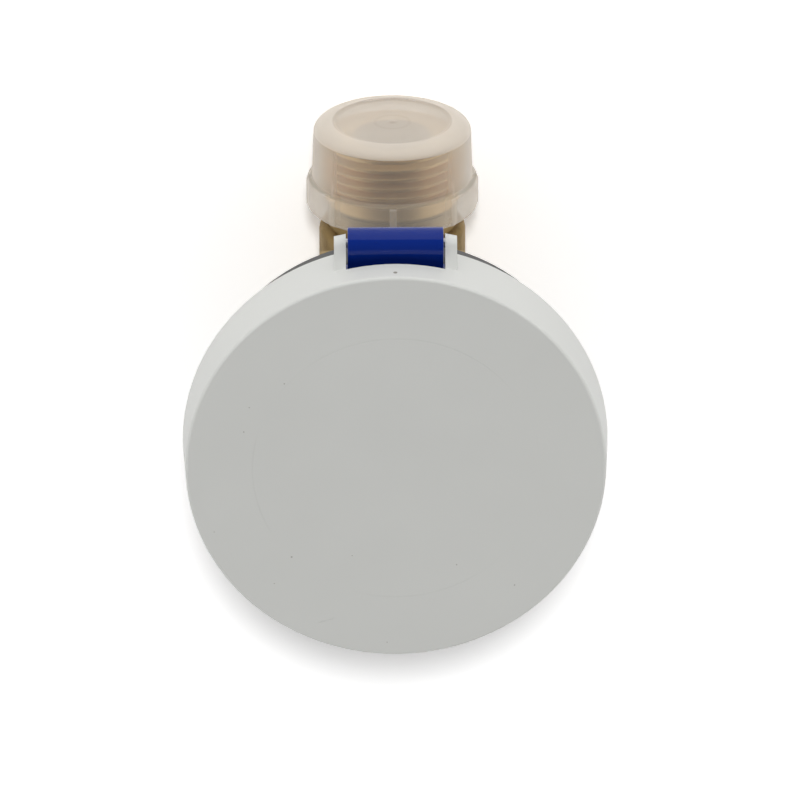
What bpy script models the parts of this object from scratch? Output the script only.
"""Dry-dial single-jet water meter for cold water, with thread caps and a hinged lid.

The meter stands on the flat foot of its body. +Z points up through the dial, the pipe runs along Y, and the
hinge of the lid is at +Y. The origin is the middle of the foot. Every size is in metres.
"""

import math

import bmesh
import bpy
from mathutils import Matrix, Vector

# Clearances between pieces
SEAT_GAP = 0.0003
SHAFT_GAP = 0.00015
PIN_END_GAP = 0.00015

# How finely round shapes are divided
LID_STEPS = 36
HOUSING_STEPS = 30
CAP_STEPS = 20
PIPE_STEPS = 20
DRUM_STEPS = 16
SMALL_STEPS = 10
SHAFT_STEPS = 8
ARC_STEPS = 3
FLAT_ANGLE = math.radians(0.1)

# Pipe tails of the brass body
BORE_RADIUS = 0.0070
BORE_END_WALL = 0.0012
THREAD_RADIUS = 0.01322
THREAD_LENGTH = 0.0125
THREAD_PITCH = 0.001814
THREAD_DEPTH = 0.00116
THREAD_TURNS = 5
THREAD_ROOT_FLAT = 0.0002
THREAD_BITE = 0.0002
THREAD_END_LAND = 0.0010
NECK_RADIUS = 0.0117
SHOULDER_RADIUS = 0.0135
SHOULDER_STEP = 0.0037
SHOULDER_ROUNDING = 0.0012
JET_RADIUS = 0.0036
JET_OFFSET = 0.0092
JET_MOUTH = 0.0112

# Measuring chamber
CHAMBER_RADIUS = 0.0165
CUP_WALL = 0.0033
FOOT_RADIUS = 0.0130
FOOT_HEIGHT = 0.0012
CUP_TAPER_TOP = 0.0150
CUP_TAPER = 0.0032
CUP_BOTTOM_ROUNDING = 0.0026
CHAMBER_FLOOR = 0.0040
FLANGE_OVERHANG = 0.0015
FLANGE_HEIGHT = 0.0034
FLANGE_CHAMFER = 0.0005
PLATE_LEDGE = 0.0018

# Impeller and its bearings
PIVOT_RADIUS = 0.00075
PIVOT_HEIGHT = 0.0030
PIVOT_ROOT = 0.0016
PIVOT_BOSS_RADIUS = 0.0024
PIVOT_BOSS_HEIGHT = 0.0014
IMPELLER_TIP_GAP = 0.0014
IMPELLER_FLOOR_GAP = 0.0006
IMPELLER_TOP_GAP = 0.0012
BLADE_COUNT = 8
BLADE_THICKNESS = 0.0010
HUB_RADIUS = 0.0042
MAGNET_RADIUS = 0.0046
MAGNET_HEIGHT = 0.0050
SPIGOT_RADIUS = 0.0020
SPIGOT_OVER_MAGNET = 0.0008
TOP_PIN_RADIUS = 0.0006
TOP_PIN_ENTRY = 0.0010

# Pressure plate between the wet and the dry side
PLATE_THICKNESS = 0.0036
DOME_WALL = 0.0012
DOME_AIR = 0.0010
DOME_SIDE_GAP = 0.0005
SEAL_RADIUS = 0.00085
SEAL_SQUEEZE = 0.00015
LOCK_RING_HEIGHT = 0.0025
LOCK_RING_WIDTH = 0.0042
LOCK_RING_RECESS = 0.0008
LOCK_NOTCH_WIDTH = 0.0024
LOCK_NOTCH_DEPTH = 0.0016
LOCK_NOTCH_COUNT = 4

# Thread caps
CAP_LENGTH = 0.0159
CAP_WALL = 0.00063
CAP_WALL_DRAFT = 0.00045
CAP_SHOULDER_WIDTH = 0.0038
CAP_SHOULDER_DEPTH = 0.0019
CAP_END_WALL = 0.0013
CAP_AIR = 0.0015
CAP_COLLAR_STEP = 0.0007
CAP_COLLAR_LENGTH = 0.0055
CAP_COLLAR_CHAMFER = 0.0012
CAP_MOUTH_FLARE = 0.0007
CAP_RIB_COUNT = 8
CAP_RIB_WIDTH = 0.0016
CAP_RIB_HEIGHT = 0.00025
CAP_GATE_RADIUS = 0.0009
CAP_GATE_HEIGHT = 0.0002
CAP_RING_GAP = 0.0033
FLOOR_CLEARANCE = 0.00065

# Strainer in the inlet
STRAINER_LENGTH = 0.0050
STRAINER_WALL = 0.0009
STRAINER_BAR = 0.0007
STRAINER_BAR_COUNT = 2
STRAINER_DEPTH = 0.0013

# Clamp ring under the register
HOOK_HEIGHT = 0.0020
NECK_CLEARANCE = 0.0004
SLEEVE_WALL = 0.0020
FUNNEL_WALL = 0.0028
BAND_HEIGHT = 0.0073
LIP_HEIGHT = 0.0010

# Register housing
DOME_TO_FLOOR = 0.0004
REGISTER_FLOOR = 0.0012
REGISTER_FOOT_WIDTH = 0.0028
BASE_LOWER_WALL = 0.0016
BASE_WALL = 0.0020
BASE_BEAD = 0.0009
FUNNEL_GAP = 0.0006
COUNTER_ROOM = 0.00135
DIAL_LEDGE = 0.0009
BASE_OVER_DIAL = 0.0006
CASE_OVERLAP = 0.0053
CASE_WALL = 0.0029
CASE_TOP_THICKNESS = 0.0023
CASE_TOP_WIDTH = 0.0052
CASE_EDGE_ROUNDING = 0.0006
WINDOW_THICKNESS = 0.0020
WINDOW_SKIRT = 0.0017
WINDOW_WALL = 0.0015

# Lid and hinge
LID_SIDE_GAP = 0.0008
LID_WALL = 0.0016
LID_TOP = 0.0015
LID_DEPTH = 0.01187
LID_DRAFT = 0.00074
LID_EDGE_ROUNDING = 0.0006
HINGE_OFFSET = 0.00270
HINGE_DROP = 0.0085
BARREL_RADIUS = 0.0028
BARREL_LENGTH = 0.0165
BARREL_ROUNDING = 0.0004
BRACKET_BELOW_AXIS = 0.0025
BRACKET_ABOVE_AXIS = 0.0008
EAR_THICKNESS = 0.0022
EAR_END_RADIUS = 0.00165
EAR_ROOT_HEIGHT = 0.0033
EAR_SKIN = 0.0003
NOTCH_DEPTH = 0.00505
HINGE_PIN_RADIUS = 0.00080

# Teeth: shares of the pitch on each side of a tooth's middle, heights in modules
TOOTH_ROOT_SHARE = 0.30
TOOTH_TIP_SHARE = 0.10
ADDENDUM = 0.85
DEDENDUM = 1.20
POINTED_ADDENDUM = 1.0
POINTED_DEDENDUM = 1.4

# Gear train
GEAR_MODULE = 0.0004
DRUM_DRIVE_MODULE = 0.00045
CARRY_MODULE = 0.00045
PINION_TEETH = 8
WHEEL_TEETH = 40
CROWN_PINION_TEETH = 10
DRUM_TEETH = 20
MESH_PLAY = 0.00005
GEAR_THICKNESS = 0.0012
PINION_OVERHANG = 0.0003
LAYER_GAP = 0.0008
ARBOR_RADIUS = 0.0006
ARBOR_BOSS_RADIUS = 0.0015
ARBOR_BOSS_HEIGHT = 0.0008
SOCKET_DEPTH = 0.0011
FOLLOWER_MAGNET_RADIUS = 0.0050
FOLLOWER_MAGNET_HEIGHT = 0.0030
SPINDLE_HUB_RADIUS = 0.0017
SPINDLE_FLANGE_RADIUS = 0.0028
SPINDLE_FLANGE_HEIGHT = 0.0003
SPINDLE_LIFT = 0.00015
SHIELD_RADIUS = 0.0080
SHIELD_WALL = 0.0007
SHIELD_HEIGHT = 0.0040
BRIDGE_THICKNESS = 0.0011
BRIDGE_EDGE_GAP = 0.0004
POST_RADIUS = 0.0018
POST_WALL = 0.0002
POST_ANGLES = (80.0, 200.0, 320.0)
SCREW_RADIUS = 0.00075
SCREW_LENGTH = 0.0040
SCREW_HEAD_RADIUS = 0.0015
SCREW_HEAD_HEIGHT = 0.0008
SCREW_SLOT_WIDTH = 0.0004
SCREW_SLOT_DEPTH = 0.0004
STAR_ARBOR_ANGLE = 197.5

# Counter with its drums
DRUM_COUNT = 8
DRUM_RADIUS = 0.0056
DRUM_RIM = 0.0028
DRUM_RING_WIDTH = 0.00065
CARRY_DISC_WIDTH = 0.00055
CARRY_DISC_RADIUS = 0.0037
CARRY_LUG_RADIUS = 0.0046
CARRY_PINION_SIDE_GAP = 0.0002
NUMBER_SHAFT_RADIUS = 0.0008
PINION_SHAFT_RADIUS = 0.0005
CROWN_INNER_RADIUS = 0.0035
CROWN_OUTER_RADIUS = 0.0045
CROWN_TIP_SHARE = 0.5
DRIVE_X = 0.0120
DRUM_Y = 0.0085
DRIVE_POST_RADIUS = 0.0005
DRIVE_HUB_RADIUS = 0.0014
DRUM_OVER_GEAR = 0.0010
CHEEK_THICKNESS = 0.0010
CHEEK_HALF_WIDTH = 0.0027
CHEEK_BELOW_SHAFT = 0.0013

# Dial
DIAL_THICKNESS = 0.0007
DIAL_OVER_DRUMS = 0.0004
COUNTER_WINDOW_HALF_HEIGHT = 0.0034
COUNTER_WINDOW_SIDE = 0.0002
STAR_POINTS = 6
STAR_RADIUS = 0.0030
STAR_INNER_RADIUS = 0.0015
STAR_THICKNESS = 0.0006
STAR_HOLE_GAP = 0.0007
POINTER_LENGTH = 0.0048
POINTER_TAIL = 0.0017
POINTER_WIDTH = 0.0007
POINTER_THICKNESS = 0.0005
POINTER_HUB_RADIUS = 0.0011
POINTER_LIFT = 0.0004
POINTER_BUSH = 0.0006

# Radii of the thread caps, from the thread outwards
CAP_BORE_RADIUS = THREAD_RADIUS + SEAT_GAP
CAP_END_RADIUS = CAP_BORE_RADIUS + CAP_WALL
CAP_END_DISC_RADIUS = CAP_END_RADIUS - CAP_SHOULDER_WIDTH
CAP_WALL_RADIUS = CAP_END_RADIUS + CAP_WALL_DRAFT
CAP_COLLAR_RADIUS = CAP_WALL_RADIUS + CAP_COLLAR_STEP

# Levels, from the floor upwards
PIPE_Z = CAP_COLLAR_RADIUS + CAP_RIB_HEIGHT + FLOOR_CLEARANCE
HOOK_BOTTOM = PIPE_Z + NECK_RADIUS + NECK_CLEARANCE
FLANGE_BOTTOM = HOOK_BOTTOM + HOOK_HEIGHT + SEAT_GAP
BODY_TOP = FLANGE_BOTTOM + FLANGE_HEIGHT
LOCK_RING_TOP = BODY_TOP - LOCK_RING_RECESS
LOCK_RING_BOTTOM = LOCK_RING_TOP - LOCK_RING_HEIGHT
PLATE_TOP = LOCK_RING_BOTTOM - SEAT_GAP
PLATE_BOTTOM = PLATE_TOP - PLATE_THICKNESS
LEDGE_Z = PLATE_BOTTOM - SEAT_GAP
BOSS_TOP = CHAMBER_FLOOR + PIVOT_BOSS_HEIGHT
PIVOT_TOP = BOSS_TOP + PIVOT_HEIGHT
HUB_BOTTOM = BOSS_TOP + IMPELLER_FLOOR_GAP
HUB_TOP = LEDGE_Z
MAGNET_BOTTOM = HUB_TOP + SEAT_GAP
MAGNET_TOP = MAGNET_BOTTOM + MAGNET_HEIGHT
SPIGOT_TOP = MAGNET_TOP + SPIGOT_OVER_MAGNET
DOME_CEILING = SPIGOT_TOP + DOME_AIR
DOME_TOP = DOME_CEILING + DOME_WALL
FLOOR_BOTTOM = DOME_TOP + DOME_TO_FLOOR
FLOOR_TOP = FLOOR_BOTTOM + REGISTER_FLOOR
SOCKET_TOP = FLOOR_TOP + ARBOR_BOSS_HEIGHT
SOCKET_BOTTOM = SOCKET_TOP - SOCKET_DEPTH
ARBOR_BOTTOM = SOCKET_BOTTOM + PIN_END_GAP
SPINDLE_FLANGE_BOTTOM = SOCKET_TOP + SPINDLE_LIFT
FOLLOWER_MAGNET_BOTTOM = SPINDLE_FLANGE_BOTTOM + SPINDLE_FLANGE_HEIGHT + SEAT_GAP
SPINDLE_HUB_TOP = FOLLOWER_MAGNET_BOTTOM + FOLLOWER_MAGNET_HEIGHT
LAYER_ONE = SPINDLE_HUB_TOP + PINION_OVERHANG + SEAT_GAP
LAYER_TWO = LAYER_ONE + GEAR_THICKNESS + LAYER_GAP
BRIDGE_BOTTOM = LAYER_TWO + GEAR_THICKNESS + PINION_OVERHANG + 2 * SEAT_GAP
BRIDGE_TOP = BRIDGE_BOTTOM + BRIDGE_THICKNESS
ARBOR_TOP = BRIDGE_TOP - PIN_END_GAP
LAYER_THREE = BRIDGE_TOP + SEAT_GAP + PIN_END_GAP
DRUM_Z = LAYER_THREE + GEAR_THICKNESS + DRUM_OVER_GEAR + DRUM_RADIUS
DIAL_BOTTOM = DRUM_Z + DRUM_RADIUS + DIAL_OVER_DRUMS
DIAL_TOP = DIAL_BOTTOM + DIAL_THICKNESS
BASE_TOP = DIAL_TOP + BASE_OVER_DIAL
WINDOW_BOTTOM = BASE_TOP + SEAT_GAP
WINDOW_TOP = WINDOW_BOTTOM + WINDOW_SKIRT + WINDOW_THICKNESS
CASE_TOP = WINDOW_TOP + SEAT_GAP + CASE_TOP_THICKNESS
LID_FACE = CASE_TOP + SEAT_GAP + LID_TOP
RING_TOP = BASE_TOP - CASE_OVERLAP
CASE_BOTTOM = RING_TOP + SEAT_GAP
BAND_BOTTOM = RING_TOP - BAND_HEIGHT
HINGE_Z = LID_FACE - HINGE_DROP

# Radii of the body, from the chamber outwards
CUP_RADIUS = CHAMBER_RADIUS + CUP_WALL
THREAD_ROOT_RADIUS = THREAD_RADIUS - THREAD_DEPTH
PLATE_BORE = CHAMBER_RADIUS + PLATE_LEDGE
FLANGE_RADIUS = CUP_RADIUS + FLANGE_OVERHANG
SLEEVE_INNER = FLANGE_RADIUS + SEAT_GAP
SLEEVE_OUTER = SLEEVE_INNER + SLEEVE_WALL
DOME_INNER = MAGNET_RADIUS + DOME_SIDE_GAP
DOME_OUTER = DOME_INNER + DOME_WALL
IMPELLER_RADIUS = CHAMBER_RADIUS - IMPELLER_TIP_GAP
CUP_BOTTOM_RADIUS = CUP_RADIUS - CUP_TAPER
CHAMBER_BOTTOM_RADIUS = CHAMBER_RADIUS - CUP_TAPER

# Along the pipe, from the middle outwards
CAP_MOUTH = SLEEVE_OUTER + CAP_RING_GAP
CAP_END = CAP_MOUTH + CAP_LENGTH
TAIL_END = CAP_END - CAP_END_WALL - CAP_AIR
THREAD_START = TAIL_END - THREAD_LENGTH
SHOULDER_END = CUP_RADIUS + SHOULDER_STEP
BORE_END = CUP_RADIUS + BORE_END_WALL

# Counter: its drums run from the drive at +X towards -X
FACE_PINION_PITCH = CROWN_PINION_TEETH * GEAR_MODULE / 2
DRUM_PITCH = DRUM_RIM + DRUM_RING_WIDTH + CARRY_DISC_WIDTH + SEAT_GAP
CROWN_TOOTH = (ADDENDUM + DEDENDUM) * GEAR_MODULE
DRUM_FACE_X = DRIVE_X - FACE_PINION_PITCH - DEDENDUM * GEAR_MODULE - MESH_PLAY
COUNTER_LEFT = DRUM_FACE_X - DRUM_COUNT * DRUM_PITCH + DRUM_RING_WIDTH + SEAT_GAP
COUNTER_RIGHT = DRUM_FACE_X + CROWN_TOOTH
LEFT_CHEEK = COUNTER_LEFT - SEAT_GAP - CHEEK_THICKNESS
RIGHT_CHEEK = COUNTER_RIGHT + SEAT_GAP
CARRY_DISTANCE = CARRY_MODULE * (DRUM_TEETH + PINION_TEETH) / 2 + MESH_PLAY
PINION_Y = DRUM_Y - CARRY_DISTANCE
CHEEK_BOTTOM = DRUM_Z - CHEEK_BELOW_SHAFT
COUNTER_REACH = math.hypot(LEFT_CHEEK, DRUM_Y + CHEEK_HALF_WIDTH)

# Radii of the register, from the counter outwards
REGISTER_BORE = COUNTER_REACH + COUNTER_ROOM
DIAL_RADIUS = REGISTER_BORE + DIAL_LEDGE - SEAT_GAP
BASE_RADIUS = REGISTER_BORE + BASE_WALL
BEAD_RADIUS = BASE_RADIUS + BASE_BEAD
RING_INNER = BEAD_RADIUS + SEAT_GAP
CASE_INNER = BASE_RADIUS + SEAT_GAP
CASE_RADIUS = CASE_INNER + CASE_WALL
CASE_OPENING = CASE_RADIUS - CASE_TOP_WIDTH
WINDOW_RADIUS = BASE_RADIUS
BASE_LOWER_RADIUS = SLEEVE_INNER - SEAT_GAP
POST_CIRCLE = BASE_LOWER_RADIUS - POST_WALL - POST_RADIUS
BASE_LOWER_BORE = BASE_LOWER_RADIUS - BASE_LOWER_WALL
LID_INNER = CASE_RADIUS + LID_SIDE_GAP
LID_FACE_RADIUS = LID_INNER + LID_WALL
LID_RIM_RADIUS = LID_FACE_RADIUS + LID_DRAFT
HINGE_Y = LID_FACE_RADIUS + HINGE_OFFSET
EAR_INNER_X = BARREL_LENGTH / 2 + SEAT_GAP
EAR_OUTER_X = EAR_INNER_X + EAR_THICKNESS

# The funnels of ring and base widen at 45 degrees: radius minus height stays the same along each
RING_FUNNEL_OUTER = CASE_RADIUS - BAND_BOTTOM
RING_FUNNEL_INNER = RING_FUNNEL_OUTER - FUNNEL_WALL
BASE_FUNNEL_OUTER = RING_FUNNEL_INNER - FUNNEL_GAP
BASE_FUNNEL_INNER = BASE_FUNNEL_OUTER - BASE_LOWER_WALL * math.sqrt(2)
BRIDGE_RADIUS = BRIDGE_BOTTOM + BASE_FUNNEL_INNER - BRIDGE_EDGE_GAP


# Tools

def start_empty():
    """Clear the scene and make the two collections."""
    for item in list(bpy.data.objects):
        bpy.data.objects.remove(item, do_unlink=True)
    for name in ("water_meter", "cutters"):
        group = bpy.data.collections.new(name)
        bpy.context.scene.collection.children.link(group)


def linked(item, group="cutters"):
    """Put an object in a collection. Shapes that cut or join others wait in the cutters collection."""
    bpy.data.collections[group].objects.link(item)
    if group == "cutters":
        item.hide_render = True
        item.display_type = "WIRE"
    return item


def baked(item):
    """A clean closed mesh of an object's evaluated shape, with its placing moved into the mesh."""
    bpy.context.view_layer.update()
    graph = bpy.context.evaluated_depsgraph_get()
    mesh = bpy.data.meshes.new_from_object(item.evaluated_get(graph))
    mesh.name = item.name
    mesh.transform(item.matrix_world)
    work = bmesh.new()
    work.from_mesh(mesh)
    bmesh.ops.remove_doubles(work, verts=work.verts, dist=1e-7)
    bmesh.ops.dissolve_degenerate(work, edges=work.edges, dist=1e-7)
    bmesh.ops.dissolve_limit(work, angle_limit=FLAT_ANGLE, verts=work.verts, edges=work.edges)
    bmesh.ops.recalc_face_normals(work, faces=work.faces)
    work.to_mesh(mesh)
    work.free()
    solid = linked(bpy.data.objects.new(item.name, mesh))
    bpy.data.objects.remove(item, do_unlink=True)
    return solid


def turned(name, profile, steps=HOUSING_STEPS, closed=True):
    """A solid of revolution about Z. An open profile ends on the axis, a closed one stays off it."""
    count = len(profile)
    edges = [(i, i + 1) for i in range(count - 1)]
    if closed:
        edges.append((count - 1, 0))
    mesh = bpy.data.meshes.new(name)
    mesh.from_pydata([(radius, 0.0, height) for radius, height in profile], edges, [])
    item = linked(bpy.data.objects.new(name, mesh))
    screw = item.modifiers.new("Turn", "SCREW")
    screw.axis = "Z"
    screw.steps = steps
    screw.render_steps = steps
    screw.use_merge_vertices = True
    screw.merge_threshold = 1e-6
    return baked(item)


def raised(name, outlines, low, high):
    """A flat outline, and any holes in it, raised along Z from low to high."""
    curve = bpy.data.curves.new(name, "CURVE")
    curve.dimensions = "2D"
    curve.fill_mode = "BOTH"
    curve.extrude = (high - low) / 2
    for outline in outlines:
        spline = curve.splines.new("POLY")
        spline.points.add(len(outline) - 1)
        for point, (x, y) in zip(spline.points, outline):
            point.co = (x, y, 0.0, 1.0)
        spline.use_cyclic_u = True
    item = linked(bpy.data.objects.new(name, curve))
    item.location.z = (low + high) / 2
    return baked(item)


def rod(name, radius, start, end, steps=SHAFT_STEPS):
    """A round bar between two points."""
    start, end = Vector(start), Vector(end)
    along = end - start
    work = bmesh.new()
    bmesh.ops.create_cone(
        work, cap_ends=True, segments=steps, radius1=radius, radius2=radius, depth=along.length,
    )
    turn = along.to_track_quat("Z", "Y").to_matrix().to_4x4()
    bmesh.ops.transform(work, verts=work.verts, matrix=Matrix.Translation((start + end) / 2) @ turn)
    return solid_from(name, work)


def block(name, low, high):
    """A box between two corners."""
    low, high = Vector(low), Vector(high)
    work = bmesh.new()
    bmesh.ops.create_cube(work, size=1.0)
    bmesh.ops.scale(work, verts=work.verts, vec=high - low)
    bmesh.ops.translate(work, verts=work.verts, vec=(low + high) / 2)
    return solid_from(name, work)


def solid_from(name, work):
    mesh = bpy.data.meshes.new(name)
    work.to_mesh(mesh)
    work.free()
    return linked(bpy.data.objects.new(name, mesh))


def combined(target, tools, operation):
    """Apply a Boolean with each tool in turn, then drop the tools."""
    for tool in tools:
        change = target.modifiers.new(operation.title(), "BOOLEAN")
        change.operation = operation
        change.solver = "EXACT"
        change.object = tool
    target = baked(target)
    for tool in tools:
        bpy.data.objects.remove(tool, do_unlink=True)
    return target


def joined(target, *tools):
    return combined(target, tools, "UNION")


def cut(target, *tools):
    return combined(target, tools, "DIFFERENCE")


def around(item, count, first=0.0):
    """Copies of an object turned about Z, the object itself among them."""
    copies = []
    for i in range(count):
        copy = item if i == 0 else linked(item.copy())
        copy.rotation_euler.z = first + i * math.tau / count
        copies.append(copy)
    return copies


def finished(item, name, colour, place=(0.0, 0.0, 0.0), turn=(0.0, 0.0, 0.0)):
    """Name a piece, place it, give it its material and put it in the meter's collection."""
    item.name = name
    item.data.name = name
    item.location = place
    item.rotation_euler = turn
    item.hide_render = False
    item.display_type = "TEXTURED"
    item.data.materials.clear()
    item.data.materials.append(bpy.data.materials[colour])
    item.data.shade_smooth()
    item.data.set_sharp_from_angle(angle=math.radians(30))
    bpy.data.collections["cutters"].objects.unlink(item)
    bpy.data.collections["water_meter"].objects.link(item)
    return item


def circle(radius, steps, centre=(0.0, 0.0)):
    """The corners of a round outline."""
    angles = [i * math.tau / steps for i in range(steps)]
    return [(centre[0] + radius * math.cos(a), centre[1] + radius * math.sin(a)) for a in angles]


def arc(centre, radius, start, end, steps=ARC_STEPS):
    """Points along an arc of a profile, angles in degrees. The radius may differ along and across."""
    across, along = radius if isinstance(radius, tuple) else (radius, radius)
    points = []
    for i in range(steps + 1):
        angle = math.radians(start + (end - start) * i / steps)
        points.append((centre[0] + across * math.cos(angle), centre[1] + along * math.sin(angle)))
    return points


def gear_outline(teeth, module, phase=0.0):
    """The outline of a spur gear. One tooth's middle lies at the phase angle."""
    pitch_radius = teeth * module / 2
    root = pitch_radius - DEDENDUM * module
    tip = pitch_radius + ADDENDUM * module
    step = math.tau / teeth
    corners = (
        (root, -TOOTH_ROOT_SHARE),
        (tip, -TOOTH_TIP_SHARE),
        (tip, TOOTH_TIP_SHARE),
        (root, TOOTH_ROOT_SHARE),
    )
    points = []
    for i in range(teeth):
        for radius, share in corners:
            angle = phase + (i + share) * step
            points.append((radius * math.cos(angle), radius * math.sin(angle)))
    return points


def pointed_outline(teeth, module, phase=0.0):
    """The outline of a larger wheel, whose fine teeth run to a point."""
    pitch_radius = teeth * module / 2
    points = []
    for i in range(teeth):
        for radius, share in (
            (pitch_radius + POINTED_ADDENDUM * module, 0.0),
            (pitch_radius - POINTED_DEDENDUM * module, 0.5),
        ):
            angle = phase + (i + share) * math.tau / teeth
            points.append((radius * math.cos(angle), radius * math.sin(angle)))
    return points


def meshing_phase(teeth_a, phase_a, place_a, teeth_b, place_b):
    """The phase that puts gear b's gap on gear a's tooth, wherever the line of centres meets a's teeth."""
    line = math.atan2(place_b[1] - place_a[1], place_b[0] - place_a[0])
    shift = (phase_a - line) * teeth_a / math.tau
    return line + math.pi + (0.5 - shift) * math.tau / teeth_b


def gear_distance(module, teeth_a, teeth_b):
    return module * (teeth_a + teeth_b) / 2 + MESH_PLAY


def meeting_point(place_a, distance_a, place_b, distance_b):
    """The point at given distances from two others, on the right of the way from a to b."""
    a, b = Vector(place_a), Vector(place_b)
    span = (b - a).length
    along = (distance_a**2 - distance_b**2 + span**2) / (2 * span)
    aside = math.sqrt(distance_a**2 - along**2)
    forward = (b - a) / span
    point = a + forward * along + Vector((forward.y, -forward.x)) * aside
    return (point.x, point.y)


# Places of the upright arbors, seen from above
SPINDLE_AT = (0.0, 0.0)
DRIVE_AT = (DRIVE_X, DRUM_Y)
DRIVE_DISTANCE = gear_distance(DRUM_DRIVE_MODULE, PINION_TEETH, WHEEL_TEETH)
TRAIN_DISTANCE = gear_distance(GEAR_MODULE, PINION_TEETH, WHEEL_TEETH)
POINTER_BEARING = math.radians(260.0)
POINTER_AT = (
    DRIVE_X + DRIVE_DISTANCE * math.cos(POINTER_BEARING),
    DRUM_Y + DRIVE_DISTANCE * math.sin(POINTER_BEARING),
)
IDLER_AT = meeting_point(SPINDLE_AT, TRAIN_DISTANCE, POINTER_AT, TRAIN_DISTANCE)
STAR_AT = (
    IDLER_AT[0] + TRAIN_DISTANCE * math.cos(math.radians(STAR_ARBOR_ANGLE)),
    IDLER_AT[1] + TRAIN_DISTANCE * math.sin(math.radians(STAR_ARBOR_ANGLE)),
)
POST_PLACES = [
    (POST_CIRCLE * math.cos(math.radians(a)), POST_CIRCLE * math.sin(math.radians(a))) for a in POST_ANGLES
]

# Phases that keep every pair in mesh at rest
SPINDLE_PHASE = 0.0
IDLER_PHASE = meshing_phase(PINION_TEETH, SPINDLE_PHASE, SPINDLE_AT, WHEEL_TEETH, IDLER_AT)
IDLER_PINION_PHASE = 0.0
POINTER_GEAR_PHASE = meshing_phase(PINION_TEETH, IDLER_PINION_PHASE, IDLER_AT, WHEEL_TEETH, POINTER_AT)
POINTER_PINION_PHASE = 0.0
DRIVE_PHASE = meshing_phase(PINION_TEETH, POINTER_PINION_PHASE, POINTER_AT, WHEEL_TEETH, DRIVE_AT)
DRIVE_PINION_PHASE = math.pi
STAR_PINION_PHASE = meshing_phase(WHEEL_TEETH, IDLER_PHASE, IDLER_AT, PINION_TEETH, STAR_AT)


# Materials

def make_material(name, colour, roughness, metallic=0.0, alpha=1.0):
    finish = bpy.data.materials.new(name)
    finish.use_nodes = True
    shader = finish.node_tree.nodes["Principled BSDF"]
    shader.inputs["Base Color"].default_value = (*colour, 1.0)
    shader.inputs["Roughness"].default_value = roughness
    shader.inputs["Metallic"].default_value = metallic
    shader.inputs["Alpha"].default_value = alpha
    finish.diffuse_color = (*colour, alpha)


def make_materials():
    make_material("brass", (0.50, 0.34, 0.14), 0.38, metallic=1.0)
    make_material("steel", (0.60, 0.60, 0.62), 0.30, metallic=1.0)
    make_material("ferrite", (0.05, 0.05, 0.055), 0.60)
    make_material("lid_grey", (0.49, 0.50, 0.47), 0.50)
    make_material("case_blue", (0.01, 0.03, 0.22), 0.30)
    make_material("ring_grey", (0.09, 0.09, 0.09), 0.55)
    make_material("milky", (0.72, 0.68, 0.60), 0.45, alpha=0.75)
    make_material("white", (0.80, 0.80, 0.80), 0.45)
    make_material("black", (0.02, 0.02, 0.02), 0.45)
    make_material("red", (0.60, 0.03, 0.02), 0.40)
    make_material("clear", (0.90, 0.92, 0.93), 0.05, alpha=0.25)
    make_material("nitrile", (0.03, 0.03, 0.03), 0.80)


# Wet side

def thread_ridge():
    """The ridge of a parallel pipe thread about Z, one pitch further along at each turn, with closed ends."""
    half_root = (THREAD_PITCH - THREAD_ROOT_FLAT) / 2
    bite = half_root * THREAD_BITE / THREAD_DEPTH
    start = TAIL_END - THREAD_END_LAND - THREAD_TURNS * THREAD_PITCH
    mesh = bpy.data.meshes.new("ridge")
    mesh.from_pydata([
        (THREAD_RADIUS, 0.0, start),
        (THREAD_ROOT_RADIUS - THREAD_BITE, 0.0, start - half_root - bite),
        (THREAD_ROOT_RADIUS - THREAD_BITE, 0.0, start + half_root + bite),
    ], [(0, 1), (1, 2), (2, 0)], [])
    item = linked(bpy.data.objects.new("ridge", mesh))
    screw = item.modifiers.new("Wind", "SCREW")
    screw.axis = "Z"
    screw.steps = PIPE_STEPS
    screw.render_steps = PIPE_STEPS
    screw.screw_offset = THREAD_PITCH
    screw.iterations = THREAD_TURNS
    ridge = baked(item)
    work = bmesh.new()
    work.from_mesh(ridge.data)
    bmesh.ops.holes_fill(work, edges=[edge for edge in work.edges if edge.is_boundary])
    bmesh.ops.recalc_face_normals(work, faces=work.faces)
    work.to_mesh(ridge.data)
    work.free()
    return ridge


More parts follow.
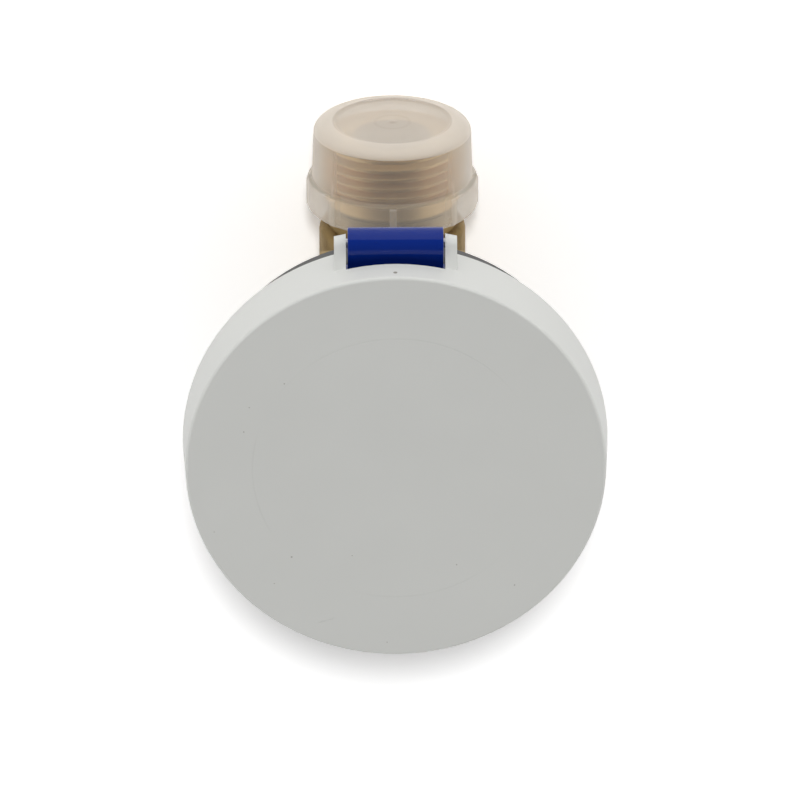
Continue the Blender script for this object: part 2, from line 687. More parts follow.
def make_meter_body():
    """One brass casting: the chamber cup with its foot and flange, and the two threaded tails."""
    cup = turned("cup", [
        (0.0, BODY_TOP),
        (FLANGE_RADIUS - FLANGE_CHAMFER, BODY_TOP),
        (FLANGE_RADIUS, BODY_TOP - FLANGE_CHAMFER),
        (FLANGE_RADIUS, FLANGE_BOTTOM),
        (CUP_RADIUS, FLANGE_BOTTOM),
        (CUP_RADIUS, CUP_TAPER_TOP),
        *arc(
            (CUP_BOTTOM_RADIUS - CUP_BOTTOM_ROUNDING, FOOT_HEIGHT + CUP_BOTTOM_ROUNDING),
            CUP_BOTTOM_ROUNDING, 0, -90,
        ),
        (FOOT_RADIUS, FOOT_HEIGHT),
        (FOOT_RADIUS, 0.0),
        (0.0, 0.0),
    ], closed=False)
    tail_profile = [
        (0.0, TAIL_END),
        (THREAD_ROOT_RADIUS, TAIL_END),
        (THREAD_ROOT_RADIUS, THREAD_START + THREAD_ROOT_RADIUS - NECK_RADIUS),
        (NECK_RADIUS, THREAD_START),
        (NECK_RADIUS, SHOULDER_END),
        *arc(
            (SHOULDER_RADIUS - SHOULDER_ROUNDING, SHOULDER_END - SHOULDER_ROUNDING),
            SHOULDER_ROUNDING, 90, 0, 2,
        ),
        (SHOULDER_RADIUS, 0.0),
        (0.0, 0.0),
    ]
    tails = []
    cutters = []
    for side in (1, -1):
        tail = turned("tail", tail_profile, PIPE_STEPS, closed=False)
        ridge = thread_ridge()
        for piece in (tail, ridge):
            piece.location.z = PIPE_Z
            piece.rotation_euler.x = -side * math.pi / 2
        # The clamp ring passes over the shoulder, so its way is cut out of the tail
        way = ring(
            "way", CUP_RADIUS - CUP_WALL / 4, SLEEVE_OUTER + CAP_RING_GAP / 2,
            HOOK_BOTTOM - SEAT_GAP, BODY_TOP, HOUSING_STEPS,
        )
        tails.append(cut(joined(tail, ridge), way))
        bore_start = (0.0, side * BORE_END, PIPE_Z)
        bore_end = (0.0, side * (TAIL_END + CAP_AIR), PIPE_Z)
        cutters.append(rod("bore", BORE_RADIUS, bore_start, bore_end, PIPE_STEPS))
        mouth = (-JET_OFFSET, side * JET_MOUTH, PIPE_Z)
        jet_start = (0.0, side * (BORE_END + JET_RADIUS / 2), PIPE_Z)
        cutters.append(rod("jet", JET_RADIUS, jet_start, mouth, SMALL_STEPS))
    body = joined(cup, *tails)
    chamber = turned("chamber", [
        (0.0, BODY_TOP + SEAT_GAP),
        (PLATE_BORE, BODY_TOP + SEAT_GAP),
        (PLATE_BORE, LEDGE_Z),
        (CHAMBER_RADIUS, LEDGE_Z),
        (CHAMBER_RADIUS, CUP_TAPER_TOP),
        (CHAMBER_BOTTOM_RADIUS, CHAMBER_FLOOR),
        (0.0, CHAMBER_FLOOR),
    ], closed=False)
    body = cut(body, chamber, *cutters)
    boss = rod("boss", PIVOT_BOSS_RADIUS, (0, 0, FOOT_HEIGHT), (0, 0, BOSS_TOP), SMALL_STEPS)
    root = (0, 0, BOSS_TOP - PIVOT_ROOT)
    pivot_hole = rod("pivot_hole", PIVOT_RADIUS + SHAFT_GAP, root, (0, 0, BOSS_TOP + SEAT_GAP))
    body = cut(joined(body, boss), pivot_hole)
    finished(body, "meter_body", "brass")


def make_lower_pivot():
    low = BOSS_TOP - PIVOT_ROOT + PIN_END_GAP
    pin = turned("pin", [
        (0.0, PIVOT_TOP),
        (PIVOT_RADIUS / 3, PIVOT_TOP),
        (PIVOT_RADIUS, PIVOT_TOP - PIVOT_RADIUS),
        (PIVOT_RADIUS, low),
        (0.0, low),
    ], SHAFT_STEPS, closed=False)
    finished(pin, "lower_pivot", "steel")


def make_impeller():
    """A star of straight blades on a hub, with the magnet's spigot and both bearing holes."""
    half_blade = math.asin(BLADE_THICKNESS / 2 / IMPELLER_RADIUS)
    half_root = math.asin(BLADE_THICKNESS / 2 / SPIGOT_RADIUS)
    star = []
    for i in range(BLADE_COUNT):
        middle = i * math.tau / BLADE_COUNT
        for radius, offset in (
            (SPIGOT_RADIUS, -half_root),
            (IMPELLER_RADIUS, -half_blade),
            (IMPELLER_RADIUS, half_blade),
            (SPIGOT_RADIUS, half_root),
        ):
            star.append((radius * math.cos(middle + offset), radius * math.sin(middle + offset)))
    low = HUB_BOTTOM + IMPELLER_FLOOR_GAP
    blades = raised("blades", [star], low, LEDGE_Z - IMPELLER_TOP_GAP)
    # The tips follow the chamber's taper
    lean = CUP_TAPER / (CUP_TAPER_TOP - CHAMBER_FLOOR)
    outside = IMPELLER_RADIUS + SEAT_GAP
    taper = turned("taper", [
        (outside, CUP_TAPER_TOP + SEAT_GAP / lean),
        (outside, low - SEAT_GAP),
        (IMPELLER_RADIUS - lean * (CUP_TAPER_TOP - low + SEAT_GAP), low - SEAT_GAP),
    ])
    blades = cut(blades, taper)
    hub = turned("hub", [
        (0.0, SPIGOT_TOP - TOP_PIN_ENTRY - SEAT_GAP),
        (TOP_PIN_RADIUS + SHAFT_GAP, SPIGOT_TOP - TOP_PIN_ENTRY - SEAT_GAP),
        (TOP_PIN_RADIUS + SHAFT_GAP, SPIGOT_TOP),
        (SPIGOT_RADIUS, SPIGOT_TOP),
        (SPIGOT_RADIUS, HUB_TOP),
        (HUB_RADIUS, HUB_TOP),
        (HUB_RADIUS, HUB_BOTTOM),
        (0.0, HUB_BOTTOM),
    ], SMALL_STEPS, closed=False)
    wheel = joined(hub, blades)
    mouth = (0, 0, HUB_BOTTOM - SEAT_GAP)
    bearing = rod("bearing", PIVOT_RADIUS + SHAFT_GAP, mouth, (0, 0, PIVOT_TOP + SEAT_GAP))
    finished(cut(wheel, bearing), "impeller", "white")


def ring(name, inner, outer, low, high, steps):
    """A plain turned ring."""
    return turned(name, [(inner, high), (outer, high), (outer, low), (inner, low)], steps)


def make_impeller_magnet():
    magnet = ring("magnet", SPIGOT_RADIUS + SHAFT_GAP, MAGNET_RADIUS, MAGNET_BOTTOM, MAGNET_TOP, SMALL_STEPS)
    finished(magnet, "impeller_magnet", "ferrite")


def make_separator():
    """Pressure plate with a dome over the magnet, its O-ring, and the threaded ring that holds it down."""
    rim = PLATE_BORE - SEAT_GAP
    seal_middle = (PLATE_TOP + PLATE_BOTTOM) / 2
    seal_centre = rim + SEAL_SQUEEZE - SEAL_RADIUS
    groove_floor = seal_centre - SEAL_RADIUS - SEAL_SQUEEZE
    groove_half = SEAL_RADIUS + SEAL_SQUEEZE
    plate = turned("plate", [
        (0.0, DOME_TOP),
        (DOME_OUTER - DOME_WALL / 2, DOME_TOP),
        (DOME_OUTER, DOME_TOP - DOME_WALL / 2),
        (DOME_OUTER, PLATE_TOP),
        (rim, PLATE_TOP),
        (rim, seal_middle + groove_half),
        (groove_floor, seal_middle + groove_half),
        (groove_floor, seal_middle - groove_half),
        (rim, seal_middle - groove_half),
        (rim, PLATE_BOTTOM),
        (DOME_INNER, PLATE_BOTTOM),
        (DOME_INNER, DOME_CEILING),
        (0.0, DOME_CEILING),
    ], PIPE_STEPS, closed=False)
    pin = rod("pin", TOP_PIN_RADIUS, (0, 0, SPIGOT_TOP - TOP_PIN_ENTRY), (0, 0, DOME_CEILING + DOME_WALL / 2))
    finished(joined(plate, pin), "separator_plate", "white")
    seal = turned("seal", arc((seal_centre, seal_middle), SEAL_RADIUS, 0, -360, 6)[:-1], PIPE_STEPS)
    finished(seal, "separator_seal", "nitrile")
    inner = rim - LOCK_RING_WIDTH
    lock = ring("lock", inner, rim, LOCK_RING_BOTTOM, LOCK_RING_TOP, PIPE_STEPS)
    notch = block(
        "notch",
        (inner - LOCK_NOTCH_DEPTH, -LOCK_NOTCH_WIDTH / 2, LOCK_RING_BOTTOM - SEAT_GAP),
        (inner + LOCK_NOTCH_DEPTH, LOCK_NOTCH_WIDTH / 2, LOCK_RING_TOP + SEAT_GAP),
    )
    finished(cut(lock, *around(notch, LOCK_NOTCH_COUNT)), "separator_ring", "brass")


def make_strainer():
    """A basket pushed into the inlet bore: a sleeve with a grid of bars across its inner end."""
    outer = BORE_RADIUS - SEAT_GAP
    start = -(BORE_END + STRAINER_DEPTH)
    sleeve = ring("sleeve", outer - STRAINER_WALL, outer, 0.0, STRAINER_LENGTH, SMALL_STEPS)
    reach = outer - STRAINER_WALL / 2
    spacing = 2 * reach / (STRAINER_BAR_COUNT + 1)
    bars = []
    for i in range(STRAINER_BAR_COUNT):
        offset = (i + 1) * spacing - reach
        half = math.sqrt(reach**2 - offset**2)
        low, high = offset - STRAINER_BAR / 2, offset + STRAINER_BAR / 2
        bars.append(block("bar", (low, -half, 0.0), (high, half, STRAINER_BAR)))
        bars.append(block("bar", (-half, low, 0.0), (half, high, STRAINER_BAR)))
    basket = joined(sleeve, *bars)
    finished(basket, "inlet_strainer", "white", (0.0, start, PIPE_Z), (math.pi / 2, 0.0, 0.0))


def make_caps():
    """Milky push-on thread caps: a drafted wall, a rounded end with a gate mark and a ribbed collar."""
    collar_top = CAP_COLLAR_LENGTH
    depth = CAP_LENGTH - CAP_END_WALL
    shoulder = (CAP_SHOULDER_WIDTH, CAP_SHOULDER_DEPTH)
    profile = [
        (0.0, CAP_LENGTH + CAP_GATE_HEIGHT),
        (CAP_GATE_RADIUS, CAP_LENGTH + CAP_GATE_HEIGHT),
        (CAP_GATE_RADIUS, CAP_LENGTH),
        *arc((CAP_END_DISC_RADIUS, CAP_LENGTH - CAP_SHOULDER_DEPTH), shoulder, 90, 0),
        (CAP_WALL_RADIUS, collar_top),
        (CAP_COLLAR_RADIUS, collar_top - CAP_COLLAR_CHAMFER),
        (CAP_COLLAR_RADIUS, 0.0),
        (CAP_BORE_RADIUS + CAP_MOUTH_FLARE, 0.0),
        (CAP_BORE_RADIUS, CAP_MOUTH_FLARE),
        (CAP_BORE_RADIUS, depth),
        (0.0, depth),
    ]
    for name, side in (("outlet_cap", 1), ("inlet_cap", -1)):
        shell = turned("shell", profile, CAP_STEPS, closed=False)
        rib = block(
            "rib",
            (-CAP_RIB_WIDTH / 2, CAP_WALL_RADIUS - CAP_MOUTH_FLARE / 2, 0.0),
            (CAP_RIB_WIDTH / 2, CAP_COLLAR_RADIUS + CAP_RIB_HEIGHT, collar_top - CAP_COLLAR_CHAMFER / 2),
        )
        cap = joined(shell, *around(rib, CAP_RIB_COUNT))
        finished(cap, name, "milky", (0.0, side * CAP_MOUTH, PIPE_Z), (-side * math.pi / 2, 0.0, 0.0))


# Housing of the register

def make_clamp_ring():
    """Dark ring that hooks under the body's flange and carries the register in its funnel."""
    hook_radius = CUP_RADIUS + SEAT_GAP
    lip_radius = BASE_RADIUS + SEAT_GAP
    lip_bottom = RING_TOP - LIP_HEIGHT
    body = turned("ring", [
        (lip_radius, RING_TOP),
        (CASE_RADIUS, RING_TOP),
        (CASE_RADIUS, BAND_BOTTOM),
        (SLEEVE_OUTER, SLEEVE_OUTER - RING_FUNNEL_OUTER),
        (SLEEVE_OUTER, HOOK_BOTTOM),
        (hook_radius, HOOK_BOTTOM),
        (hook_radius, HOOK_BOTTOM + HOOK_HEIGHT),
        (SLEEVE_INNER, HOOK_BOTTOM + HOOK_HEIGHT),
        (SLEEVE_INNER, SLEEVE_INNER - RING_FUNNEL_INNER),
        (RING_INNER, RING_INNER - RING_FUNNEL_INNER),
        (RING_INNER, lip_bottom),
        (lip_radius, lip_bottom),
    ])
    finished(body, "clamp_ring", "ring_grey")


def make_register_base():
    """Cup under the gear train: foot, floor with sockets and posts, and a funnel with a bead."""
    foot_bottom = BODY_TOP + SEAT_GAP
    bead_top = RING_TOP - LIP_HEIGHT - SEAT_GAP
    ledge = DIAL_BOTTOM - SEAT_GAP
    shell = turned("shell", [
        (REGISTER_BORE + DIAL_LEDGE, BASE_TOP),
        (BASE_RADIUS, BASE_TOP),
        (BASE_RADIUS, bead_top),
        (BEAD_RADIUS, bead_top),
        (BEAD_RADIUS, BEAD_RADIUS - BASE_FUNNEL_OUTER),
        (BASE_LOWER_RADIUS, BASE_LOWER_RADIUS - BASE_FUNNEL_OUTER),
        (BASE_LOWER_RADIUS, foot_bottom),
        (BASE_LOWER_RADIUS - REGISTER_FOOT_WIDTH, foot_bottom),
        (BASE_LOWER_RADIUS - REGISTER_FOOT_WIDTH, FLOOR_BOTTOM),
        (0.0, FLOOR_BOTTOM),
        (0.0, FLOOR_TOP),
        (BASE_LOWER_BORE, FLOOR_TOP),
        (BASE_LOWER_BORE, BASE_LOWER_BORE - BASE_FUNNEL_INNER),
        (REGISTER_BORE, REGISTER_BORE - BASE_FUNNEL_INNER),
        (REGISTER_BORE, ledge),
        (REGISTER_BORE + DIAL_LEDGE, ledge),
    ])
    added = []
    holes = []
    for x, y in (SPINDLE_AT, IDLER_AT, POINTER_AT, STAR_AT):
        added.append(rod("boss", ARBOR_BOSS_RADIUS, (x, y, FLOOR_BOTTOM), (x, y, SOCKET_TOP)))
        mouth = (x, y, SOCKET_TOP + SEAT_GAP)
        holes.append(rod("socket", ARBOR_RADIUS + SHAFT_GAP, (x, y, SOCKET_BOTTOM), mouth))
    post_top = BRIDGE_BOTTOM - SEAT_GAP
    hole_bottom = BRIDGE_TOP - SCREW_LENGTH - SEAT_GAP
    for x, y in POST_PLACES:
        added.append(rod("post", POST_RADIUS, (x, y, FLOOR_BOTTOM), (x, y, post_top)))
        mouth = (x, y, post_top + SEAT_GAP)
        holes.append(rod("thread", SCREW_RADIUS + SHAFT_GAP, (x, y, hole_bottom), mouth))
    finished(cut(joined(shell, *added), *holes), "register_base", "black")


def make_register_case():
    """Blue ring around the window, with the hinge barrel on a bracket at +Y."""
    edge = CASE_EDGE_ROUNDING
    shell = turned("shell", [
        (CASE_OPENING, CASE_TOP),
        *arc((CASE_RADIUS - edge, CASE_TOP - edge), edge, 90, 0, 2),
        (CASE_RADIUS, CASE_BOTTOM),
        (CASE_INNER, CASE_BOTTOM),
        (CASE_INNER, WINDOW_TOP + SEAT_GAP),
        (CASE_OPENING, WINDOW_TOP + SEAT_GAP),
    ])
    half = BARREL_LENGTH / 2
    barrel = turned("barrel", [
        (0.0, half),
        *arc((BARREL_RADIUS - BARREL_ROUNDING, half - BARREL_ROUNDING), BARREL_ROUNDING, 90, 0, 1),
        *arc((BARREL_RADIUS - BARREL_ROUNDING, BARREL_ROUNDING - half), BARREL_ROUNDING, 0, -90, 1),
        (0.0, -half),
    ], DRUM_STEPS, closed=False)
    barrel.rotation_euler.y = math.pi / 2
    barrel.location = (0.0, HINGE_Y, HINGE_Z)
    bracket = block(
        "bracket",
        (-half + BARREL_ROUNDING, CASE_RADIUS - CASE_WALL / 2, HINGE_Z - BRACKET_BELOW_AXIS),
        (half - BARREL_ROUNDING, HINGE_Y, HINGE_Z + BRACKET_ABOVE_AXIS),
    )
    case = joined(shell, bracket, barrel)
    hole = rod(
        "pin_hole", HINGE_PIN_RADIUS + SHAFT_GAP,
        (-half - SEAT_GAP, HINGE_Y, HINGE_Z), (half + SEAT_GAP, HINGE_Y, HINGE_Z), SMALL_STEPS,
    )
    finished(cut(case, hole), "register_case", "case_blue")


def make_register_window():
    disc_bottom = WINDOW_BOTTOM + WINDOW_SKIRT
    bevel = WINDOW_THICKNESS / 4
    window = turned("window", [
        (0.0, WINDOW_TOP),
        (WINDOW_RADIUS - bevel, WINDOW_TOP),
        (WINDOW_RADIUS, WINDOW_TOP - bevel),
        (WINDOW_RADIUS, WINDOW_BOTTOM),
        (WINDOW_RADIUS - WINDOW_WALL, WINDOW_BOTTOM),
        (WINDOW_RADIUS - WINDOW_WALL, disc_bottom),
        (0.0, disc_bottom),
    ], closed=False)
    finished(window, "register_window", "clear")


# Lid

def make_lid():
    """Round cover with a drafted skirt, a notch over the barrel and an ear on each side of it."""
    edge = LID_EDGE_ROUNDING
    rim = LID_FACE - LID_DEPTH
    shell = turned("shell", [
        (0.0, LID_FACE),
        *arc((LID_FACE_RADIUS - edge, LID_FACE - edge), edge, 90, 0, 2),
        (LID_RIM_RADIUS, rim),
        (LID_RIM_RADIUS - LID_WALL, rim),
        (LID_INNER, LID_FACE - LID_TOP),
        (0.0, LID_FACE - LID_TOP),
    ], LID_STEPS, closed=False)
    notch = block(
        "notch",
        (-EAR_INNER_X, CASE_RADIUS - CASE_WALL, rim - SEAT_GAP),
        (EAR_INNER_X, HINGE_Y, LID_FACE - NOTCH_DEPTH),
    )
    lid = cut(shell, notch)
    root_y = math.sqrt(LID_FACE_RADIUS**2 - EAR_OUTER_X**2) - LID_WALL / 2
    side = [
        (root_y, HINGE_Z + EAR_ROOT_HEIGHT),
        *arc((HINGE_Y, HINGE_Z), EAR_END_RADIUS, 75, -90, 5),
        (root_y, HINGE_Z - EAR_ROOT_HEIGHT),
    ]
    ears = []
    holes = []
    for sign in (1, -1):
        ear = raised("ear", [side], EAR_INNER_X, EAR_OUTER_X)
        # The outline's X and Y become the ear's Y and Z, and its height becomes X
        ear.matrix_world = Matrix(((0, 0, sign, 0), (1, 0, 0, 0), (0, 1, 0, 0), (0, 0, 0, 1)))
        ears.append(baked(ear))
        start = (sign * (EAR_INNER_X - SEAT_GAP), HINGE_Y, HINGE_Z)
        end = (sign * (EAR_OUTER_X - EAR_SKIN), HINGE_Y, HINGE_Z)
        holes.append(rod("hole", HINGE_PIN_RADIUS + SHAFT_GAP, start, end, SMALL_STEPS))
    lid = cut(joined(lid, *ears), *holes)
    move_origin(lid, (0.0, HINGE_Y, HINGE_Z))
    finished(lid, "lid", "lid_grey", (0.0, HINGE_Y, HINGE_Z))


def move_origin(item, place):
    """Shift a mesh so that the object's origin lies on a joint's axis."""
    item.data.transform(Matrix.Translation(-Vector(place)))


def make_hinge_pin():
    half = EAR_OUTER_X - EAR_SKIN - PIN_END_GAP
    pin = rod("pin", HINGE_PIN_RADIUS, (-half, 0, 0), (half, 0, 0), SMALL_STEPS)
    finished(pin, "hinge_pin", "steel", (0.0, HINGE_Y, HINGE_Z))


# Gear train

def shaft_profile(low, high, radius=ARBOR_RADIUS):
    return [(0.0, high), (radius, high), (radius, low), (0.0, low)]


def arbor(name, low, high):
    return turned(name, shaft_profile(low, high), SHAFT_STEPS, closed=False)


def wheel(layer, module, phase):
    return raised("wheel", [pointed_outline(WHEEL_TEETH, module, phase)], layer, layer + GEAR_THICKNESS)


def pinion(layer, module, phase):
    """A pinion a little longer than the wheel it drives, on both sides of the wheel's layer."""
    low, high = layer - PINION_OVERHANG, layer + GEAR_THICKNESS + PINION_OVERHANG
    return raised("pinion", [gear_outline(PINION_TEETH, module, phase)], low, high)


def upright(xy):
    return (xy[0], xy[1], 0.0)


def make_magnet_spindle():
    flange_top = SPINDLE_FLANGE_BOTTOM + SPINDLE_FLANGE_HEIGHT
    spindle = turned("spindle", [
        (0.0, ARBOR_TOP),
        (ARBOR_RADIUS, ARBOR_TOP),
        (ARBOR_RADIUS, SPINDLE_HUB_TOP),
        (SPINDLE_HUB_RADIUS, SPINDLE_HUB_TOP),
        (SPINDLE_HUB_RADIUS, flange_top),
        (SPINDLE_FLANGE_RADIUS, flange_top),
        (SPINDLE_FLANGE_RADIUS, SPINDLE_FLANGE_BOTTOM),
        (ARBOR_RADIUS, SPINDLE_FLANGE_BOTTOM),
        (ARBOR_RADIUS, ARBOR_BOTTOM),
        (0.0, ARBOR_BOTTOM),
    ], SHAFT_STEPS, closed=False)
    spindle = joined(spindle, pinion(LAYER_ONE, GEAR_MODULE, SPINDLE_PHASE))
    finished(spindle, "magnet_spindle", "white", upright(SPINDLE_AT))
    magnet = ring(
        "magnet", SPINDLE_HUB_RADIUS + SHAFT_GAP, FOLLOWER_MAGNET_RADIUS,
        FOLLOWER_MAGNET_BOTTOM, SPINDLE_HUB_TOP, SMALL_STEPS,
    )
    finished(magnet, "follower_magnet", "ferrite", upright(SPINDLE_AT))
    shield_bottom = FLOOR_TOP + SEAT_GAP
    shield = ring(
        "shield", SHIELD_RADIUS - SHIELD_WALL, SHIELD_RADIUS,
        shield_bottom, shield_bottom + SHIELD_HEIGHT, DRUM_STEPS,
    )
    finished(shield, "shield_ring", "steel")


def make_idler_gear():
    gear = joined(
        arbor("arbor", ARBOR_BOTTOM, ARBOR_TOP),
        wheel(LAYER_ONE, GEAR_MODULE, IDLER_PHASE),
        pinion(LAYER_TWO, GEAR_MODULE, IDLER_PINION_PHASE),
    )
    finished(gear, "idler_gear", "white", upright(IDLER_AT))


def make_pointer_gear():
    top = DIAL_TOP + POINTER_LIFT + POINTER_THICKNESS - PIN_END_GAP
    gear = joined(
        arbor("arbor", ARBOR_BOTTOM, top),
        wheel(LAYER_TWO, GEAR_MODULE, POINTER_GEAR_PHASE),
        pinion(LAYER_THREE, DRUM_DRIVE_MODULE, POINTER_PINION_PHASE),
    )
    finished(gear, "pointer_gear", "white", upright(POINTER_AT))


def make_dial_pointer():
    """Red litre pointer pressed on the top of its arbor."""
    low = DIAL_TOP + POINTER_LIFT
    half = POINTER_WIDTH / 2
    blade = raised("blade", [[
        (-POINTER_TAIL, -half), (POINTER_LENGTH * 0.6, -half), (POINTER_LENGTH, 0.0),
        (POINTER_LENGTH * 0.6, half), (-POINTER_TAIL, half),
    ]], low, low + POINTER_THICKNESS)
    top = low + POINTER_BUSH + POINTER_THICKNESS
    hub = rod("hub", POINTER_HUB_RADIUS, (0, 0, low), (0, 0, top), SMALL_STEPS)
    socket = rod("socket", ARBOR_RADIUS + SHAFT_GAP, (0, 0, low - SEAT_GAP), (0, 0, low + POINTER_THICKNESS))
    finished(cut(joined(hub, blade), socket), "dial_pointer", "red", upright(POINTER_AT))


def star_level():
    """The flow star turns inside its hole, level with the dial."""
    return DIAL_BOTTOM + (DIAL_THICKNESS - STAR_THICKNESS) / 2


def make_flow_star():
    low = star_level()
    outline = []
    for i in range(STAR_POINTS):
        tip = i * math.tau / STAR_POINTS
        valley = tip + math.pi / STAR_POINTS
        outline.append((STAR_RADIUS * math.cos(tip), STAR_RADIUS * math.sin(tip)))
        outline.append((STAR_INNER_RADIUS * math.cos(valley), STAR_INNER_RADIUS * math.sin(valley)))
    star = raised("star", [outline], low, low + STAR_THICKNESS)
    gear = joined(
        arbor("arbor", ARBOR_BOTTOM, low + STAR_THICKNESS / 2),
        pinion(LAYER_ONE, GEAR_MODULE, STAR_PINION_PHASE),
        star,
    )
    finished(gear, "flow_star", "red", upright(STAR_AT))


def make_bridge_plate():
    """Plate that holds the upper ends of the arbors, on three screws."""
    arbor_hole = ARBOR_RADIUS + SHAFT_GAP
    holes = [circle(arbor_hole, SHAFT_STEPS, place) for place in (SPINDLE_AT, IDLER_AT, POINTER_AT, STAR_AT)]
    holes += [circle(SCREW_RADIUS + SHAFT_GAP, SHAFT_STEPS, place) for place in POST_PLACES]
    plate = raised("plate", [circle(BRIDGE_RADIUS, PIPE_STEPS), *holes], BRIDGE_BOTTOM, BRIDGE_TOP)
    bottom = BRIDGE_BOTTOM + BRIDGE_THICKNESS / 3
    seat = rod("seat", DRIVE_POST_RADIUS + SHAFT_GAP, (*DRIVE_AT, bottom), (*DRIVE_AT, BRIDGE_TOP + SEAT_GAP))
    finished(cut(plate, seat), "bridge_plate", "white")
    head_bottom = BRIDGE_TOP + PIN_END_GAP
    head_top = head_bottom + SCREW_HEAD_HEIGHT
    for i, (x, y) in enumerate(POST_PLACES):
        screw = turned("screw", [
            (0.0, head_top),
            (SCREW_HEAD_RADIUS, head_top),
            (SCREW_HEAD_RADIUS, head_bottom),
            (SCREW_RADIUS, head_bottom),
            (SCREW_RADIUS, BRIDGE_TOP - SCREW_LENGTH),
            (0.0, BRIDGE_TOP - SCREW_LENGTH),
        ], SHAFT_STEPS, closed=False)
        slot = block(
            "slot",
            (-2 * SCREW_HEAD_RADIUS, -SCREW_SLOT_WIDTH / 2, head_top - SCREW_SLOT_DEPTH),
            (2 * SCREW_HEAD_RADIUS, SCREW_SLOT_WIDTH / 2, head_top + SCREW_SLOT_DEPTH),
        )
        finished(cut(screw, slot), f"bridge_screw_{i + 1}", "steel", (x, y, 0.0))


def make_drum_drive():
    """A wheel turned by the pointer's arbor, with the small pinion that reaches the first drum's crown."""
    pinion_top = DRUM_Z - NUMBER_SHAFT_RADIUS - 2 * CROWN_TOOTH
    pinion_low = DRUM_Z - CROWN_OUTER_RADIUS - 2 * PINION_OVERHANG
    hub_low = BRIDGE_TOP + SEAT_GAP
    bore = circle(DRIVE_POST_RADIUS + SHAFT_GAP, SHAFT_STEPS)
    hub = raised("hub", [circle(DRIVE_HUB_RADIUS, SMALL_STEPS)], hub_low, pinion_low + PINION_OVERHANG)
    crown_pinion = gear_outline(CROWN_PINION_TEETH, GEAR_MODULE, DRIVE_PINION_PHASE)
    gear = joined(
        wheel(LAYER_THREE, DRUM_DRIVE_MODULE, DRIVE_PHASE),
        hub,
        raised("crown_pinion", [crown_pinion], pinion_low, pinion_top),
    )
    gear = cut(gear, raised("bore", [bore], hub_low - SEAT_GAP, pinion_top + SEAT_GAP))
    finished(gear, "drum_drive_gear", "white", upright(DRIVE_AT))
    post_low = BRIDGE_BOTTOM + BRIDGE_THICKNESS / 3 + PIN_END_GAP
    post = rod("post", DRIVE_POST_RADIUS, (0, 0, post_low), (0, 0, pinion_top + SEAT_GAP))
    finished(post, "drive_post", "steel", upright(DRIVE_AT))


# Counter

def carry_outline():
    """The disc beside a drum's rim, with the two-toothed lug that moves the next drum on once a turn."""
    step = math.tau / DRUM_TEETH
    root_arc = 4
    outline = circle(CARRY_DISC_RADIUS, SMALL_STEPS)
    middle = math.pi
    kept = [p for p in outline if abs(math.remainder(math.atan2(p[1], p[0]) - middle, math.tau)) > 1.3 * step]
    kept.sort(key=lambda p: math.atan2(p[1], p[0]) % math.tau)
    before = [p for p in kept if math.atan2(p[1], p[0]) % math.tau < middle]
    after = [p for p in kept if math.atan2(p[1], p[0]) % math.tau > middle]
    lug = []
    for share, radius in (
        (-1.0, CARRY_DISC_RADIUS),
        (-0.75, CARRY_LUG_RADIUS),
        (-0.4, CARRY_LUG_RADIUS),
        (-0.1, CARRY_DISC_RADIUS),
        (0.1, CARRY_DISC_RADIUS),
        (0.4, CARRY_LUG_RADIUS),
        (0.75, CARRY_LUG_RADIUS),
        (1.0, CARRY_DISC_RADIUS),
    ):
        angle = middle + share * step
        lug.append((radius * math.cos(angle), radius * math.sin(angle)))
    return before + lug + after


def drum_blank(with_ring):
    """A digit rim, its carry disc on the left and its toothed ring on the right."""
    rim = raised("rim", [circle(DRUM_RADIUS, DRUM_STEPS)], -DRUM_RIM, 0.0)
    carry = raised("carry", [carry_outline()], -DRUM_RIM - CARRY_DISC_WIDTH, -DRUM_RIM / 2)
    parts = [carry]
    if with_ring:
        teeth = pointed_outline(DRUM_TEETH, CARRY_MODULE)
        parts.append(raised("teeth", [teeth], -DRUM_RIM / 2, DRUM_RING_WIDTH))
    return joined(rim, *parts)


def crown_teeth():
    """Face teeth for the upright pinion. A gap's middle lies on the local X axis, which points down to it."""
    step = math.tau / DRUM_TEETH
    sector = []
    for radius, angle in (
        (CROWN_INNER_RADIUS, -step / 4), (CROWN_OUTER_RADIUS, -step / 4),
        (CROWN_OUTER_RADIUS, step / 4), (CROWN_INNER_RADIUS, step / 4),
    ):
        sector.append((radius * math.cos(angle), radius * math.sin(angle)))
    tooth = raised("tooth", [sector], -CROWN_TOOTH / 4, CROWN_TOOTH)
    middle = (CROWN_INNER_RADIUS + CROWN_OUTER_RADIUS) / 2
    for vertex in tooth.data.vertices:
        if vertex.co.z > 0:
            vertex.co.x = middle + (vertex.co.x - middle) * CROWN_TIP_SHARE
            vertex.co.y *= CROWN_TIP_SHARE
    return around(tooth, DRUM_TEETH, step / 2)


def make_drums():
    bore_low = -DRUM_RIM - CARRY_DISC_WIDTH - SEAT_GAP
    bore_high = CROWN_TOOTH + DRUM_RING_WIDTH
    for i in range(DRUM_COUNT):
        drum = drum_blank(with_ring=i > 0)
        if i == 0:
            drum = joined(drum, *crown_teeth())
        bore = rod("bore", NUMBER_SHAFT_RADIUS + SHAFT_GAP, (0, 0, bore_low), (0, 0, bore_high), SHAFT_STEPS)
        x = DRUM_FACE_X - i * DRUM_PITCH
        colour = "red" if i < 3 else "black"
        place = (x, DRUM_Y, DRUM_Z)
        finished(cut(drum, bore), f"number_wheel_{i + 1}", colour, place, (0.0, math.pi / 2, 0.0))


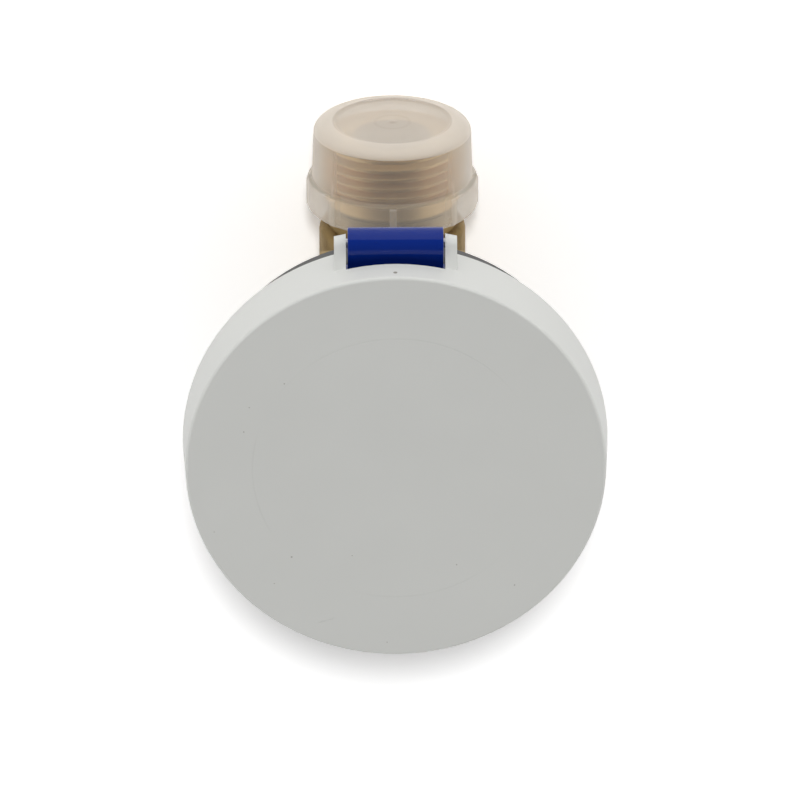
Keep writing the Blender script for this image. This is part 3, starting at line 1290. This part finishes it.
def make_carry_pinions():
    """Pinions between neighbouring drums. Seen along the shafts, the pinion shaft lies at -Y of the drums."""
    phase = meshing_phase(DRUM_TEETH, 0.0, (0.0, 0.0), PINION_TEETH, (0.0, -CARRY_DISTANCE))
    gap = DRUM_PITCH - DRUM_RIM
    half = gap / 2 - CARRY_PINION_SIDE_GAP
    for i in range(DRUM_COUNT - 1):
        middle = DRUM_FACE_X - DRUM_RIM - gap / 2 - i * DRUM_PITCH
        bore = circle(PINION_SHAFT_RADIUS + SHAFT_GAP, SHAFT_STEPS)
        outline = pointed_outline(PINION_TEETH, CARRY_MODULE, phase)
        piece = raised("carry_pinion", [outline, bore], -half, half)
        place = (middle, PINION_Y, DRUM_Z)
        finished(piece, f"carry_pinion_{i + 1}", "white", place, (0.0, math.pi / 2, 0.0))


def make_counter_shafts():
    for name, radius, y in (
        ("number_shaft", NUMBER_SHAFT_RADIUS, DRUM_Y),
        ("pinion_shaft", PINION_SHAFT_RADIUS, PINION_Y),
    ):
        shaft = rod("shaft", radius, (LEFT_CHEEK, y, DRUM_Z), (RIGHT_CHEEK + CHEEK_THICKNESS, y, DRUM_Z))
        finished(shaft, name, "steel")


def make_dial_plate():
    """White dial with the counter's window, the flow star's hole and the two cheeks that hold the shafts."""
    left = COUNTER_LEFT - COUNTER_WINDOW_SIDE
    right = DRUM_FACE_X + COUNTER_WINDOW_SIDE
    low, high = DRUM_Y - COUNTER_WINDOW_HALF_HEIGHT, DRUM_Y + COUNTER_WINDOW_HALF_HEIGHT
    outlines = [
        circle(DIAL_RADIUS, HOUSING_STEPS),
        [(left, low), (right, low), (right, high), (left, high)],
        circle(STAR_RADIUS + STAR_HOLE_GAP, SMALL_STEPS, STAR_AT),
        circle(ARBOR_RADIUS + SHAFT_GAP, SHAFT_STEPS, POINTER_AT),
    ]
    plate = raised("plate", outlines, DIAL_BOTTOM, DIAL_TOP)
    cheeks = []
    cheek_near = PINION_Y - PINION_SHAFT_RADIUS - CHEEK_THICKNESS
    for x in (LEFT_CHEEK, RIGHT_CHEEK):
        cheeks.append(block(
            "cheek",
            (x, cheek_near, CHEEK_BOTTOM),
            (x + CHEEK_THICKNESS, DRUM_Y + CHEEK_HALF_WIDTH, DIAL_BOTTOM + DIAL_THICKNESS / 2),
        ))
    plate = joined(plate, *cheeks)
    ends = (LEFT_CHEEK - CHEEK_THICKNESS, RIGHT_CHEEK + 2 * CHEEK_THICKNESS)
    holes = []
    for radius, y in ((NUMBER_SHAFT_RADIUS, DRUM_Y), (PINION_SHAFT_RADIUS, PINION_Y)):
        holes.append(rod("hole", radius + SHAFT_GAP, (ends[0], y, DRUM_Z), (ends[1], y, DRUM_Z)))
    finished(cut(plate, *holes), "dial_plate", "white")


def main():
    start_empty()
    make_materials()
    make_meter_body()
    make_lower_pivot()
    make_impeller()
    make_impeller_magnet()
    make_separator()
    make_strainer()
    make_caps()
    make_clamp_ring()
    make_register_base()
    make_register_case()
    make_register_window()
    make_lid()
    make_hinge_pin()
    make_magnet_spindle()
    make_idler_gear()
    make_pointer_gear()
    make_dial_pointer()
    make_flow_star()
    make_bridge_plate()
    make_drum_drive()
    make_drums()
    make_carry_pinions()
    make_counter_shafts()
    make_dial_plate()


main()
